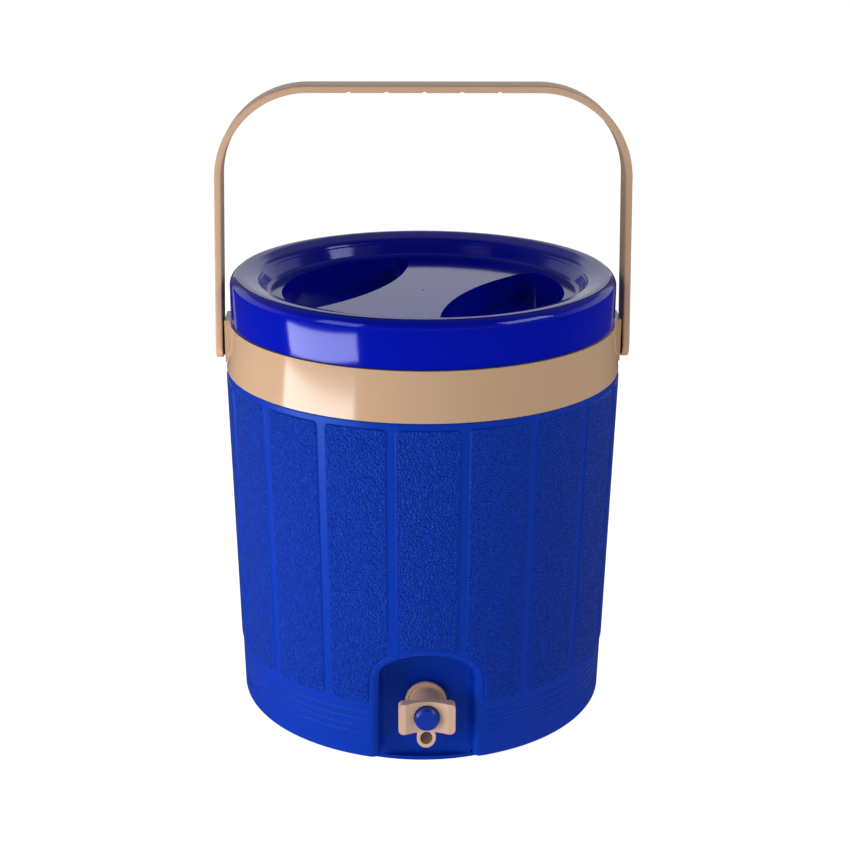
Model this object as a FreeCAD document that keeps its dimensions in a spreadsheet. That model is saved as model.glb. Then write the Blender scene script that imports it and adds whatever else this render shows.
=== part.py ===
import FreeCAD, Part
import math
import os

import Sketcher

# Insulated drinks jug with a bail handle, a plug lid and a push-button tap.
# Frame: origin on the floor at the jug's axis, +Z up, the tap faces -Y, the handle pivots lie along X.
# Lengths are millimetres, angles degrees.

SIZES = {
    # body
    "foot_thick": 3.0, "foot_radius": 118.0, "screw_recess": 1.5, "screw_recess_radius": 3.8,
    "pedestal_radius": 116.0, "pedestal_height": 8.0, "pedestal_flange": 15.5,
    "body_radius_low": 139.5, "body_radius_high": 145.6, "body_height": 257.5, "shell_wall": 3.0,
    "tongue_radius": 140.9, "tongue_wall": 2.5, "tongue_height": 3.5, "tongue_root": 6.5,
    "base_ring_radius": 99.7, "base_ring_wall": 2.7, "base_ring_height": 5.0,
    "screw_circle": 105.5, "screw_radius": 1.9, "screw_length": 11.0, "screw_head_radius": 3.4,
    "screw_head_height": 1.3, "boss_radius": 4.5, "boss_height": 8.0,
    # alcove for the tap
    "alcove_half": 36.0, "alcove_mouth_y": 135.0, "alcove_wall_y": 113.5, "alcove_straight": 63.0,
    "alcove_rise": 22.0, "alcove_shoulder": 16.0, "alcove_draft": 13.0, "apron_half": 33.0,
    # collar
    "collar_radius_low": 145.0, "collar_radius_high": 142.2, "collar_height": 35.3, "collar_wall": 3.0,
    "collar_flange": 3.5, "collar_bore": 122.5, "rebate_radius": 137.0, "rim_thick": 3.0, "seam": 0.3,
    "pad_face": 145.2, "pad_back": 139.2, "pad_half": 14.0, "pad_height": 31.4,
    # liner
    "liner_radius_low": 105.0, "liner_radius_high": 121.2, "liner_wall": 2.5, "liner_floor": 31.0,
    "liner_chamfer": 3.0, "foam_gap": 0.3, "foam_floor": 16.0,
    # lid
    "lid_radius": 141.0, "lid_height": 33.7, "lid_wall": 2.5, "rim_inner": 123.0, "dish_radius": 113.5,
    "dish_depth": 15.1, "rim_round": 7.5, "rim_inner_round": 4.0, "dish_round": 9.0,
    "pocket_outer": 103.5, "pocket_inner": 190.0, "pocket_centre": 220.5, "pocket_corner": 12.0,
    "pocket_depth": 19.7, "pocket_turn": -25.7,
    "plug_radius": 116.3, "plug_depth": 28.4, "plug_flange": 138.2, "gasket_drop": 8.0,
    "gasket_height": 3.5, "gasket_depth": 1.2, "gasket_proud": 1.65,
    # handle
    "pivot_height": 286.3, "handle_top": 472.9, "handle_thick": 5.0, "handle_width": 26.6,
    "handle_half": 152.7, "leg_end": 273.0, "leg_lean": 1.53, "bend_outer": 67.0, "leg_end_round": 13.25,
    "pivot_radius": 7.45, "pivot_clearance": 0.05, "pin_flange_radius": 11.5, "pin_flange_face": 146.0,
    "leg_boss_radius": 12.3, "leg_boss_face": 147.2, "pin_stub_radius": 5.0, "pin_stub_length": 2.6,
    "pin_head_radius": 8.4, "pin_head_length": 3.0, "pin_head_face": 138.7,
    "notch_pitch": 26.5, "notch_depth": 0.9, "notch_half": 2.2,
    # tap
    "tap_height": 48.0, "tap_flange_radius": 15.0, "tap_flange_thick": 3.0, "washer_thick": 1.5,
    "outer_washer_radius": 14.0, "inner_washer_radius": 11.0, "cone_radius": 13.0, "cone_length": 4.0,
    "barrel_radius": 10.8, "barrel_face": 142.0, "plate_face": 141.0, "plate_back": 138.0,
    "plate_half": 20.1, "plate_half_height": 11.8, "plate_curve": 28.9, "plate_front": 145.2,
    "mouth_radius": 9.35, "mouth_depth": 0.8, "chamber_radius": 8.95,
    "chamber_floor": 126.5, "seat_thick": 2.5, "seat_radius": 4.2, "flow_radius": 5.8,
    "shank_radius": 7.8, "shank_end": 92.5, "shank_hole": 8.0, "liner_pad_radius": 15.5,
    "liner_pad_face": 110.0, "liner_pad_back": 102.0,
    "spout_y": 131.0, "spout_radius": 6.8, "spout_bore": 4.2, "spout_tip": 13.7, "spout_bevel": 60.0,
    "nut_radius": 11.5, "nut_length": 6.0, "nut_bore": 7.95,
    "button_radius": 8.65, "button_face": 147.0, "button_back": 139.9, "button_cup": 5.9,
    "button_crown": 2.5, "button_chamfer": 1.6, "button_boss": 4.0, "ring_groove": 7.4,
    "ring_front": 141.8, "ring_length": 1.6, "ring_clearance": 0.05,
    "stem_radius": 2.45, "stem_hole": 2.5, "stem_front": 144.8,
    "seal_radius": 5.0, "seal_thick": 2.5, "seal_gap": 0.3,
    "retainer_radius": 4.2, "retainer_thick": 1.5, "stem_head_radius": 3.4, "stem_head_length": 1.3,
    "spring_radius": 5.0, "spring_wire": 0.45, "spring_turns": 6.0,
}
SCREW_COUNT = 4
NOTCH_COUNT = 5

doc = FreeCAD.newDocument("Jug")
V = FreeCAD.Vector


class Dim:
    """A number together with the sheet expression that gives it."""

    def __init__(self, value, text):
        self.value = value
        self.text = text

    def join(self, other, sign, value):
        text = other.text if isinstance(other, Dim) else repr(float(other))
        return Dim(value, "(" + self.text + " " + sign + " " + text + ")")

    def __add__(self, other):
        return self.join(other, "+", self.value + number(other))

    def __sub__(self, other):
        return self.join(other, "-", self.value - number(other))

    def __mul__(self, other):
        return self.join(other, "*", self.value * number(other))

    def __truediv__(self, other):
        return self.join(other, "/", self.value / number(other))

    def __neg__(self):
        return Dim(-self.value, "(-1 * " + self.text + ")")


def number(size):
    return size.value if isinstance(size, Dim) else float(size)


class Sheet:
    """The driving dimensions: one spreadsheet cell and one Dim for each."""

    def __init__(self, sizes):
        cells = doc.addObject("Spreadsheet::Sheet", "Sizes")
        for row, (name, value) in enumerate(sizes.items(), start=1):
            cells.set("A%d" % row, name)
            cells.set("B%d" % row, str(value))
            cells.setAlias("B%d" % row, name)
            setattr(self, name, Dim(value, "Sizes." + name))
        doc.recompute()


s = Sheet(SIZES)
NODES = []


# ---------------------------------------------------------------- helpers

def bind(obj, prop, size):
    """Set a property to a size and tie it to the sheet."""
    if isinstance(size, Dim):
        obj.setExpression(prop, size.text)
    else:
        setattr(obj, prop, size)


def place(obj, x=0.0, y=0.0, z=0.0, axis=None, angle=0.0):
    """Give an object its place; each coordinate may be a sheet size."""
    turn = FreeCAD.Rotation(axis, number(angle)) if axis else FreeCAD.Rotation()
    obj.Placement = FreeCAD.Placement(V(number(x), number(y), number(z)), turn)
    for name, size in (("x", x), ("y", y), ("z", z)):
        if isinstance(size, Dim):
            obj.setExpression("Placement.Base." + name, size.text)
    if isinstance(angle, Dim):
        obj.setExpression("Placement.Rotation.Angle", angle.text)
    return obj


def node(obj, name):
    """Mark an object as a finished sub-part."""
    obj.Label = name
    NODES.append(obj)
    return obj


def cylinder(name, radius, length, **where):
    """Cylinder along +Z, or turned by where."""
    obj = doc.addObject("Part::Cylinder", name)
    bind(obj, "Radius", radius)
    bind(obj, "Height", length)
    return place(obj, **where)


def along_y(name, radius, near, far, x=0.0, z=None):
    """Cylinder along Y from y = -near to y = -far, near being the distance further from the axis."""
    height = s.tap_height if z is None else z
    return cylinder(name, radius, near - far, x=x, y=-near, z=height, axis=V(1, 0, 0), angle=-90.0)


def along_x(name, radius, start, end):
    """Cylinder along X between two distances from the axis, at the pivot height."""
    return cylinder(name, radius, end - start, x=start, z=s.pivot_height, axis=V(0, 1, 0), angle=90.0)


def box(name, x0, x1, y0, y1, z0, z1):
    obj = doc.addObject("Part::Box", name)
    bind(obj, "Length", x1 - x0)
    bind(obj, "Width", y1 - y0)
    bind(obj, "Height", z1 - z0)
    return place(obj, x=x0, y=y0, z=z0)


def fuse(name, *parts):
    obj = doc.addObject("Part::MultiFuse", name)
    obj.Shapes = list(parts)
    obj.Refine = True
    return obj


def cut(name, base, *tools):
    obj = doc.addObject("Part::Cut", name)
    obj.Base = base
    obj.Tool = tools[0] if len(tools) == 1 else fuse(name + "_tools", *tools)
    obj.Refine = True
    return obj


def common(name, first, second):
    obj = doc.addObject("Part::MultiCommon", name)
    obj.Shapes = [first, second]
    return obj


def mirrored(name, source):
    """Copy across the YZ plane."""
    obj = doc.addObject("Part::Mirroring", name)
    obj.Source = source
    obj.Normal = V(1, 0, 0)
    return obj


def plane_of(body, role):
    return next(f for f in body.Origin.OriginFeatures if f.Role == role)


def new_sketch(body, role, name):
    sketch = body.newObject("Sketcher::SketchObject", name)
    sketch.AttachmentSupport = (plane_of(body, role), [""])
    sketch.MapMode = "FlatFace"
    return sketch


def draw_outline(sketch, corners):
    """Closed polyline; every corner is held by two distances from the origin, tied to the sheet."""
    points = [V(number(a), number(b), 0) for a, b in corners]
    count = len(points)
    for i in range(count):
        sketch.addGeometry(Part.LineSegment(points[i], points[(i + 1) % count]))
    for i in range(count):
        sketch.addConstraint(Sketcher.Constraint("Coincident", i, 2, (i + 1) % count, 1))
    for i, corner in enumerate(corners):
        for kind, axis, size in (("DistanceX", -2, corner[0]), ("DistanceY", -1, corner[1])):
            if number(size) == 0.0:
                sketch.addConstraint(Sketcher.Constraint("PointOnObject", i, 1, axis))
                continue
            index = sketch.addConstraint(Sketcher.Constraint(kind, -1, 1, i, 1, number(size)))
            if isinstance(size, Dim):
                sketch.setExpression("Constraints[%d]" % index, size.text)


def turned(name, corners):
    """Body of revolution about the jug's axis from (radius, height) corners."""
    body = doc.addObject("PartDesign::Body", name)
    sketch = new_sketch(body, "XZ_Plane", name + "_profile")
    draw_outline(sketch, corners)
    doc.recompute()
    turn = body.newObject("PartDesign::Revolution", name + "_turn")
    turn.Profile = sketch
    turn.ReferenceAxis = (sketch, ["V_Axis"])
    turn.Angle = 360.0
    body.Tip = turn
    doc.recompute()
    return body


def round_edges(body, name, radius, test):
    """Fillet of the body's edges that pass the test."""
    base = body.Tip
    edges = ["Edge%d" % (n + 1) for n, edge in enumerate(base.Shape.Edges) if test(edge)]
    if not edges:
        raise RuntimeError("no edge to round for " + name)
    fillet = body.newObject("PartDesign::Fillet", name)
    fillet.Base = (base, edges)
    bind(fillet, "Radius", radius)
    body.Tip = fillet
    doc.recompute()
    return fillet


def is_ring(radius, height):
    """Test for a circular edge about the axis."""
    def test(edge):
        curve = edge.Curve
        if not isinstance(curve, Part.Circle):
            return False
        near_radius = abs(curve.Radius - number(radius)) < 0.01
        return near_radius and abs(curve.Center.z - number(height)) < 0.01
    return test


# ---------------------------------------------------------------- levels

rim_level = s.foot_thick + s.pedestal_height
body_top = rim_level + s.body_height
collar_top = body_top + s.seam + s.collar_height
lid_bottom = collar_top + s.seam
lid_top = lid_bottom + s.lid_height
dish_level = lid_top - s.dish_depth
pocket_floor = dish_level - s.pocket_depth
rebate_level = collar_top - s.rim_thick
plug_bottom = lid_bottom - s.plug_depth


def on_slope(low_radius, low_level, high_radius, high_level, level):
    """Radius of a straight taper at a level."""
    share = (level - low_level) / (high_level - low_level)
    return low_radius + (high_radius - low_radius) * share


def shell_radius(level):
    return on_slope(s.body_radius_low, rim_level, s.body_radius_high, body_top, level)


def liner_radius(level):
    return on_slope(s.liner_radius_low, s.liner_floor, s.liner_radius_high, rebate_level, level)


# ---------------------------------------------------------------- body

def alcove_solid(name, grow, back, floor):
    """Block with a three-arc arch, narrowing inwards from the mouth, grown all round by grow."""
    body = doc.addObject("PartDesign::Body", name)
    sketch = new_sketch(body, "XZ_Plane", name + "_outline")
    half = s.alcove_half + grow
    small = s.alcove_shoulder + grow
    rise = s.alcove_rise + grow
    side = half - small
    big = (side * side + rise * rise - small * small) / ((rise - small) * 2.0)
    spring = rim_level + s.alcove_straight
    crown = spring + rise - big
    lean = math.atan2(big.value - rise.value, side.value)
    low, high = floor.value, spring.value
    a, c, r, k = half.value, side.value, small.value, big.value
    sketch.addGeometry(Part.LineSegment(V(-a, low, 0), V(a, low, 0)))
    sketch.addGeometry(Part.LineSegment(V(a, low, 0), V(a, high, 0)))
    up = V(0, 0, 1)
    sketch.addGeometry(Part.ArcOfCircle(Part.Circle(V(c, high, 0), up, r), 0.0, lean))
    sketch.addGeometry(Part.ArcOfCircle(Part.Circle(V(0, crown.value, 0), up, k), lean, math.pi - lean))
    sketch.addGeometry(Part.ArcOfCircle(Part.Circle(V(-c, high, 0), up, r), math.pi - lean, math.pi))
    sketch.addGeometry(Part.LineSegment(V(-a, high, 0), V(-a, low, 0)))
    for first, second in ((0, 1), (5, 0)):
        sketch.addConstraint(Sketcher.Constraint("Coincident", first, 2, second, 1))
    for first, second in ((1, 2), (2, 3), (3, 4), (4, 5)):
        sketch.addConstraint(Sketcher.Constraint("Tangent", first, 2, second, 1))
    sketch.addConstraint(Sketcher.Constraint("Vertical", 1))
    sketch.addConstraint(Sketcher.Constraint("Vertical", 5))
    sketch.addConstraint(Sketcher.Constraint("Symmetric", 0, 1, 0, 2, -2))
    sketch.addConstraint(Sketcher.Constraint("Symmetric", 2, 3, 4, 3, -2))
    for kind, target, point, size in (("DistanceX", 0, 2, half), ("DistanceY", 0, 2, floor),
                                      ("DistanceY", 2, 3, spring), ("DistanceX", 2, 3, side)):
        index = sketch.addConstraint(Sketcher.Constraint(kind, -1, 1, target, point, size.value))
        sketch.setExpression("Constraints[%d]" % index, size.text)
    index = sketch.addConstraint(Sketcher.Constraint("Radius", 3, k))
    sketch.setExpression("Constraints[%d]" % index, big.text)
    doc.recompute()
    pad = body.newObject("PartDesign::Pad", name + "_pad")
    pad.Profile = sketch
    pad.SideType = "Two sides"
    bind(pad, "Length", s.alcove_mouth_y - back)
    bind(pad, "Length2", s.body_radius_high + 5.0 - s.alcove_mouth_y)
    bind(pad, "TaperAngle", -s.alcove_draft)
    pad.Reversed = True
    body.Tip = pad
    place(body, y=-s.alcove_mouth_y)
    doc.recompute()
    return body


def make_outer_shell():
    step_level = rim_level + s.shell_wall
    root_level = body_top - s.tongue_root
    tongue_inner = s.tongue_radius - s.tongue_wall
    knee_level = root_level - (s.shell_wall + s.tongue_wall)
    skin = turned("shell_skin", [
        (s.body_radius_high, body_top),
        (s.body_radius_low, rim_level),
        (s.pedestal_radius, rim_level),
        (s.pedestal_radius, s.foot_thick),
        (s.pedestal_radius - s.pedestal_flange, s.foot_thick),
        (s.pedestal_radius - s.pedestal_flange, s.foot_thick + s.shell_wall),
        (s.pedestal_radius - s.shell_wall, s.foot_thick + s.shell_wall),
        (s.pedestal_radius - s.shell_wall, step_level),
        (shell_radius(step_level) - s.shell_wall, step_level),
        (shell_radius(knee_level) - s.shell_wall, knee_level),
        (tongue_inner, root_level),
        (tongue_inner, body_top + s.tongue_height),
        (s.tongue_radius, body_top + s.tongue_height),
        (s.tongue_radius, body_top),
    ])
    full = turned("shell_envelope", [
        (Dim(0.0, "0"), body_top),
        (Dim(0.0, "0"), rim_level),
        (s.body_radius_low, rim_level),
        (s.body_radius_high, body_top),
    ])
    lining = common("alcove_lining", alcove_solid("alcove_outer", s.shell_wall,
                                                  s.alcove_wall_y - s.shell_wall, rim_level), full)
    apron = box("alcove_apron", -s.apron_half, s.apron_half, -s.alcove_wall_y,
                s.shell_wall - s.alcove_wall_y, s.foot_thick, rim_level + s.shell_wall)
    bosses = []
    holes = []
    for i in range(SCREW_COUNT):
        angle = math.radians(45.0 + 360.0 * i / SCREW_COUNT)
        x, y = s.screw_circle * math.cos(angle), s.screw_circle * math.sin(angle)
        bosses.append(cylinder("screw_boss_%d" % i, s.boss_radius, s.boss_height, x=x, y=y,
                               z=s.foot_thick + s.shell_wall))
        holes.append(cylinder("screw_pilot_%d" % i, s.screw_radius + 0.1,
                              s.boss_height + s.shell_wall, x=x, y=y, z=s.foot_thick))
    hollow = alcove_solid("alcove_hollow", Dim(0.0, "0"), s.alcove_wall_y, s.foot_thick)
    hole = along_y("shell_tap_hole", s.shank_hole, s.alcove_wall_y + 1.0, s.alcove_wall_y - 10.0)
    solid = fuse("shell_solid", skin, lining, apron, *bosses)
    node(cut("outer_shell", solid, hollow, hole, *holes), "outer_shell")


def make_base():
    inner_ring = s.base_ring_radius - s.base_ring_wall
    zero = Dim(0.0, "0")
    plate = turned("base_disc", [
        (zero, zero),
        (s.foot_radius, zero),
        (s.foot_radius, s.foot_thick),
        (s.base_ring_radius, s.foot_thick),
        (s.base_ring_radius, s.foot_thick + s.base_ring_height),
        (inner_ring, s.foot_thick + s.base_ring_height),
        (inner_ring, s.foot_thick),
        (zero, s.foot_thick),
    ])
    holes = []
    screws = []
    for i in range(SCREW_COUNT):
        angle = math.radians(45.0 + 360.0 * i / SCREW_COUNT)
        x, y = s.screw_circle * math.cos(angle), s.screw_circle * math.sin(angle)
        holes.append(cylinder("base_hole_%d" % i, s.screw_radius + 0.3, s.foot_thick, x=x, y=y))
        holes.append(cylinder("head_recess_%d" % i, s.screw_recess_radius, s.screw_recess, x=x, y=y))
        head = cylinder("screw_head_%d" % i, s.screw_head_radius, s.screw_head_height, x=x, y=y,
                        z=s.screw_recess - s.screw_head_height)
        shank = cylinder("screw_shank_%d" % i, s.screw_radius, s.screw_length, x=x, y=y,
                         z=s.screw_recess)
        screws.append(fuse("screw_%d" % i, head, shank))
    node(cut("base_plate", plate, *holes), "base_plate")
    group = doc.addObject("Part::Compound", "base_screws")
    group.Links = screws
    node(group, "base_screws")


def make_collar():
    low = body_top + s.seam
    flange_under = rebate_level - s.collar_flange
    inner_low = s.collar_radius_low - s.collar_wall
    inner_high = on_slope(s.collar_radius_low, low, s.collar_radius_high, collar_top, flange_under)
    ring = turned("collar_section", [
        (s.collar_radius_low, low),
        (s.collar_radius_high, collar_top),
        (s.rebate_radius, collar_top),
        (s.rebate_radius, rebate_level),
        (s.collar_bore, rebate_level),
        (s.collar_bore, flange_under),
        (inner_high - s.collar_wall, flange_under),
        (inner_low, low),
    ])
    pad = box("pivot_pad", s.pad_back, s.pad_face, -s.pad_half, s.pad_half,
              collar_top - s.pad_height, collar_top)
    hole = along_x("pivot_hole", s.pivot_radius + s.pivot_clearance, s.pad_back - 3.0, s.pad_face + 3.0)
    solid = fuse("collar_solid", ring, pad, mirrored("pivot_pad_left", pad))
    node(cut("collar_ring", solid, hole, mirrored("pivot_hole_left", hole)), "collar_ring")


def make_liner():
    zero = Dim(0.0, "0")
    flange_radius = s.rebate_radius - s.foam_gap
    floor_top = s.liner_floor + s.liner_wall
    knee = s.liner_floor + s.liner_chamfer
    inner_knee = floor_top + s.liner_chamfer
    cup = turned("liner_cup", [
        (zero, s.liner_floor),
        (s.liner_radius_low - s.liner_chamfer, s.liner_floor),
        (liner_radius(knee), knee),
        (s.liner_radius_high, rebate_level),
        (flange_radius, rebate_level),
        (flange_radius, collar_top),
        (liner_radius(collar_top) - s.liner_wall, collar_top),
        (liner_radius(inner_knee) - s.liner_wall, inner_knee),
        (s.liner_radius_low - s.liner_wall - s.liner_chamfer, floor_top),
        (zero, floor_top),
    ])
    pad = along_y("liner_tap_pad", s.liner_pad_radius, s.liner_pad_face, s.liner_pad_back)
    hole = along_y("liner_tap_hole", s.shank_hole, s.liner_pad_face + 5.0, s.liner_pad_back - 5.0)
    node(cut("inner_liner", fuse("liner_solid", cup, pad), hole), "inner_liner")


def make_foam():
    zero = Dim(0.0, "0")
    top = body_top - s.seam
    knee = body_top - s.tongue_root - (s.shell_wall + s.tongue_wall) - 1.0
    neck = s.tongue_radius - s.tongue_wall - s.foam_gap
    side = s.shell_wall + s.foam_gap
    low_level = s.liner_floor - s.foam_gap
    chamfer_level = s.liner_floor + s.liner_chamfer
    bulk = turned("foam_bulk", [
        (zero, s.foam_floor),
        (shell_radius(s.foam_floor) - side, s.foam_floor),
        (shell_radius(knee) - side, knee),
        (neck, body_top - s.tongue_root - 1.0),
        (neck, top),
        (liner_radius(top) + s.foam_gap, top),
        (liner_radius(chamfer_level) + s.foam_gap, chamfer_level),
        (s.liner_radius_low - s.liner_chamfer + s.foam_gap, low_level),
        (zero, low_level),
    ])
    alcove = alcove_solid("foam_alcove", s.shell_wall + s.foam_gap,
                          s.alcove_wall_y - s.shell_wall - s.foam_gap, s.foot_thick)
    hole = along_y("foam_tap_hole", s.liner_pad_radius + 0.5, s.alcove_wall_y, s.liner_pad_back)
    node(cut("foam_insulation", bulk, alcove, hole), "foam_insulation")


# ---------------------------------------------------------------- lid

def pocket_solid(name, grow, low, high, turn):
    """Finger pocket: the overlap of two circles with rounded corners, grown by grow."""
    body = doc.addObject("PartDesign::Body", name)
    sketch = new_sketch(body, "XY_Plane", name + "_outline")
    sketch.AttachmentOffset = FreeCAD.Placement(V(0, 0, low.value), FreeCAD.Rotation())
    sketch.setExpression("AttachmentOffset.Base.z", low.text)
    outer = s.pocket_outer + grow
    inner = s.pocket_inner + grow
    corner = s.pocket_corner + grow
    reach = s.pocket_centre.value
    from_axis = outer.value - corner.value
    from_far = inner.value - corner.value
    x = (from_axis ** 2 - from_far ** 2 + reach ** 2) / (2 * reach)
    y = math.sqrt(from_axis ** 2 - x ** 2)
    rise = math.atan2(y, x)
    fall = math.atan2(y, x - reach)
    arcs = [
        (0.0, 0.0, outer.value, -rise, rise),
        (x, y, corner.value, rise, fall),
        (reach, 0.0, inner.value, fall, 2 * math.pi - fall),
        (x, -y, corner.value, 2 * math.pi - fall, 2 * math.pi - rise),
    ]
    for cx, cy, radius, start, end in arcs:
        circle = Part.Circle(V(cx, cy, 0), V(0, 0, 1), radius)
        sketch.addGeometry(Part.ArcOfCircle(circle, start, end))
    for i in range(4):
        sketch.addConstraint(Sketcher.Constraint("Tangent", i, 2, (i + 1) % 4, 1))
    sketch.addConstraint(Sketcher.Constraint("Coincident", 0, 3, -1, 1))
    sketch.addConstraint(Sketcher.Constraint("PointOnObject", 2, 3, -1))
    for kind, target, size in (("Radius", 0, outer), ("Radius", 1, corner), ("Radius", 2, inner),
                               ("Radius", 3, corner)):
        index = sketch.addConstraint(Sketcher.Constraint(kind, target, size.value))
        sketch.setExpression("Constraints[%d]" % index, size.text)
    index = sketch.addConstraint(Sketcher.Constraint("DistanceX", -1, 1, 2, 3, reach))
    sketch.setExpression("Constraints[%d]" % index, s.pocket_centre.text)
    doc.recompute()
    pad = body.newObject("PartDesign::Pad", name + "_pad")
    pad.Profile = sketch
    bind(pad, "Length", high - low)
    body.Tip = pad
    place(body, axis=V(0, 0, 1), angle=turn)
    doc.recompute()
    return body


def pocket_pair(name, grow, low, high):
    half_turn = s.pocket_turn + 180.0
    return [pocket_solid(name + "_right", grow, low, high, s.pocket_turn),
            pocket_solid(name + "_left", grow, low, high, half_turn)]


def make_lid():
    zero = Dim(0.0, "0")
    wall = s.lid_wall
    skin = turned("lid_skin", [
        (s.lid_radius, lid_bottom),
        (s.lid_radius, lid_top),
        (s.rim_inner, lid_top),
        (s.dish_radius, dish_level),
        (zero, dish_level),
        (zero, dish_level - wall),
        (s.dish_radius - wall * 0.6, dish_level - wall),
        (s.rim_inner - wall * 0.6, lid_top - wall),
        (s.lid_radius - wall, lid_top - wall),
        (s.lid_radius - wall, lid_bottom),
    ])
    round_edges(skin, "rim_outer_round", s.rim_round, is_ring(s.lid_radius, lid_top))
    round_edges(skin, "rim_under_round", s.rim_round - wall, is_ring(s.lid_radius - wall, lid_top - wall))
    round_edges(skin, "rim_inner_round", s.rim_inner_round, is_ring(s.rim_inner, lid_top))
    round_edges(skin, "dish_round", s.dish_round, is_ring(s.dish_radius, dish_level))
    tubs = pocket_pair("pocket_tub", wall, pocket_floor - wall, dish_level - wall * 0.5)
    hollows = pocket_pair("pocket_hollow", zero, pocket_floor, lid_top)
    node(cut("lid_cover", fuse("lid_solid", skin, *tubs), *hollows), "lid_cover")

    flange_level = lid_bottom + 0.3
    inner = s.plug_radius - wall
    plug = turned("plug_section", [
        (zero, plug_bottom),
        (s.plug_radius, plug_bottom),
        (s.plug_radius, flange_level),
        (s.plug_flange, flange_level),
        (s.plug_flange, flange_level + wall),
        (inner, flange_level + wall),
        (inner, plug_bottom + wall),
        (zero, plug_bottom + wall),
    ])
    seat_top = lid_bottom - s.gasket_drop
    seat_low = seat_top - s.gasket_height
    seat_radius = s.plug_radius - s.gasket_depth
    seat = turned("gasket_seat", [
        (seat_radius, seat_low),
        (s.plug_radius + 1.0, seat_low),
        (s.plug_radius + 1.0, seat_top),
        (seat_radius, seat_top),
    ])
    node(cut("lid_base", plug, seat), "lid_base")
    gasket = turned("gasket_section", [
        (seat_radius, seat_low),
        (s.plug_radius, seat_low),
        (s.plug_radius + s.gasket_proud, seat_top - s.gasket_height * 0.35),
        (s.plug_radius, seat_top),
        (seat_radius, seat_top),
    ])
    node(gasket, "lid_gasket")

    gap = s.foam_gap
    block = turned("lid_foam_block", [
        (zero, plug_bottom + wall + gap),
        (inner - gap, plug_bottom + wall + gap),
        (inner - gap, dish_level - wall * 2.0),
        (inner - gap - 5.0, dish_level - wall - gap),
        (zero, dish_level - wall - gap),
    ])
    clear = pocket_pair("foam_pocket", wall + gap, pocket_floor - wall - gap, lid_top)
    node(cut("lid_foam", block, *clear), "lid_foam")


# ---------------------------------------------------------------- handle

def make_handle():
    zero = Dim(0.0, "0")
    rise = s.handle_top - s.leg_end
    lean = math.tan(math.radians(SIZES["leg_lean"]))
    inner_top = s.handle_top - s.handle_thick
    inner_half = s.handle_half - s.handle_thick
    outer_corner = s.handle_half - rise * lean
    inner_corner = inner_half - (rise - s.handle_thick) * lean
    body = doc.addObject("PartDesign::Body", "half_handle")
    sketch = new_sketch(body, "XZ_Plane", "half_handle_outline")
    draw_outline(sketch, [
        (zero, s.handle_top),
        (outer_corner, s.handle_top),
        (s.handle_half, s.leg_end),
        (inner_half, s.leg_end),
        (inner_corner, inner_top),
        (zero, inner_top),
    ])
    doc.recompute()
    pad = body.newObject("PartDesign::Pad", "half_handle_pad")
    pad.Profile = sketch
    bind(pad, "Length", s.handle_width)
    pad.Midplane = True
    body.Tip = pad
    doc.recompute()

    def across(x, z):
        def test(edge):
            ends = [vertex.Point for vertex in edge.Vertexes]
            return len(ends) == 2 and all(abs(p.x - number(x)) < 0.01 and abs(p.z - number(z)) < 0.01
                                          for p in ends)
        return test

    def leg_corner(edge):
        ends = [vertex.Point for vertex in edge.Vertexes]
        if len(ends) != 2 or abs(ends[0].y - ends[1].y) > 0.01:
            return False
        return all(abs(p.z - s.leg_end.value) < 0.01 for p in ends)

    round_edges(body, "bend_outside", s.bend_outer, across(outer_corner, s.handle_top))
    round_edges(body, "bend_inside", s.bend_outer - s.handle_thick, across(inner_corner, inner_top))
    round_edges(body, "leg_end_round", s.leg_end_round, leg_corner)
    boss = along_x("leg_boss", s.leg_boss_radius, s.leg_boss_face, s.leg_boss_face + 2.0)
    socket = along_x("leg_socket", s.pin_stub_radius, s.leg_boss_face - 1.0,
                     s.leg_boss_face + s.pin_stub_length)
    seat = along_x("flange_seat", s.pin_flange_radius + 0.1, s.pin_flange_face - 1.0, s.leg_boss_face)
    right = cut("handle_right", fuse("handle_right_solid", body, boss), socket, seat)
    whole = fuse("handle_blank", right, mirrored("handle_left", right))
    flange = along_x("pin_flange", s.pin_flange_radius, s.pin_flange_face, s.leg_boss_face)
    shank = along_x("pin_shank", s.pivot_radius, s.pin_head_face - 1.0, s.pin_flange_face + 0.5)
    head = along_x("pin_head", s.pin_head_radius, s.pin_head_face - s.pin_head_length, s.pin_head_face)
    stub = along_x("pin_stub", s.pin_stub_radius, s.pin_flange_face, s.leg_boss_face + s.pin_stub_length)
    pin = fuse("handle_pin_right", flange, shank, head, stub)
    node(pin, "handle_pin_right")
    node(mirrored("handle_pin_left", pin), "handle_pin_left")
    notches = []
    for i in range(NOTCH_COUNT):
        offset = s.notch_pitch * (i - (NOTCH_COUNT - 1) / 2)
        notch = doc.addObject("Part::Wedge", "notch_%d" % i)
        half, depth, width = s.notch_half, s.notch_depth, s.handle_width
        for prop, size in (("Xmin", -half), ("Xmax", half), ("Ymin", -depth), ("Ymax", depth),
                           ("Zmin", -width / 2 - 1.0), ("Zmax", width / 2 + 1.0),
                           ("X2min", zero - 0.05), ("X2max", zero + 0.05),
                           ("Z2min", -width / 2 - 1.0), ("Z2max", width / 2 + 1.0)):
            bind(notch, prop, size)
        notches.append(place(notch, x=offset, z=inner_top, axis=V(1, 0, 0), angle=90.0))
    node(cut("handle", whole, *notches), "handle")


# ---------------------------------------------------------------- tap

def ring(name, radius, hole, near, far):
    """Flat ring across the tap's axis."""
    disc = along_y(name + "_disc", radius, near, far)
    node(cut(name, disc, along_y(name + "_hole", hole, near + 1.0, far - 1.0)), name)


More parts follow.
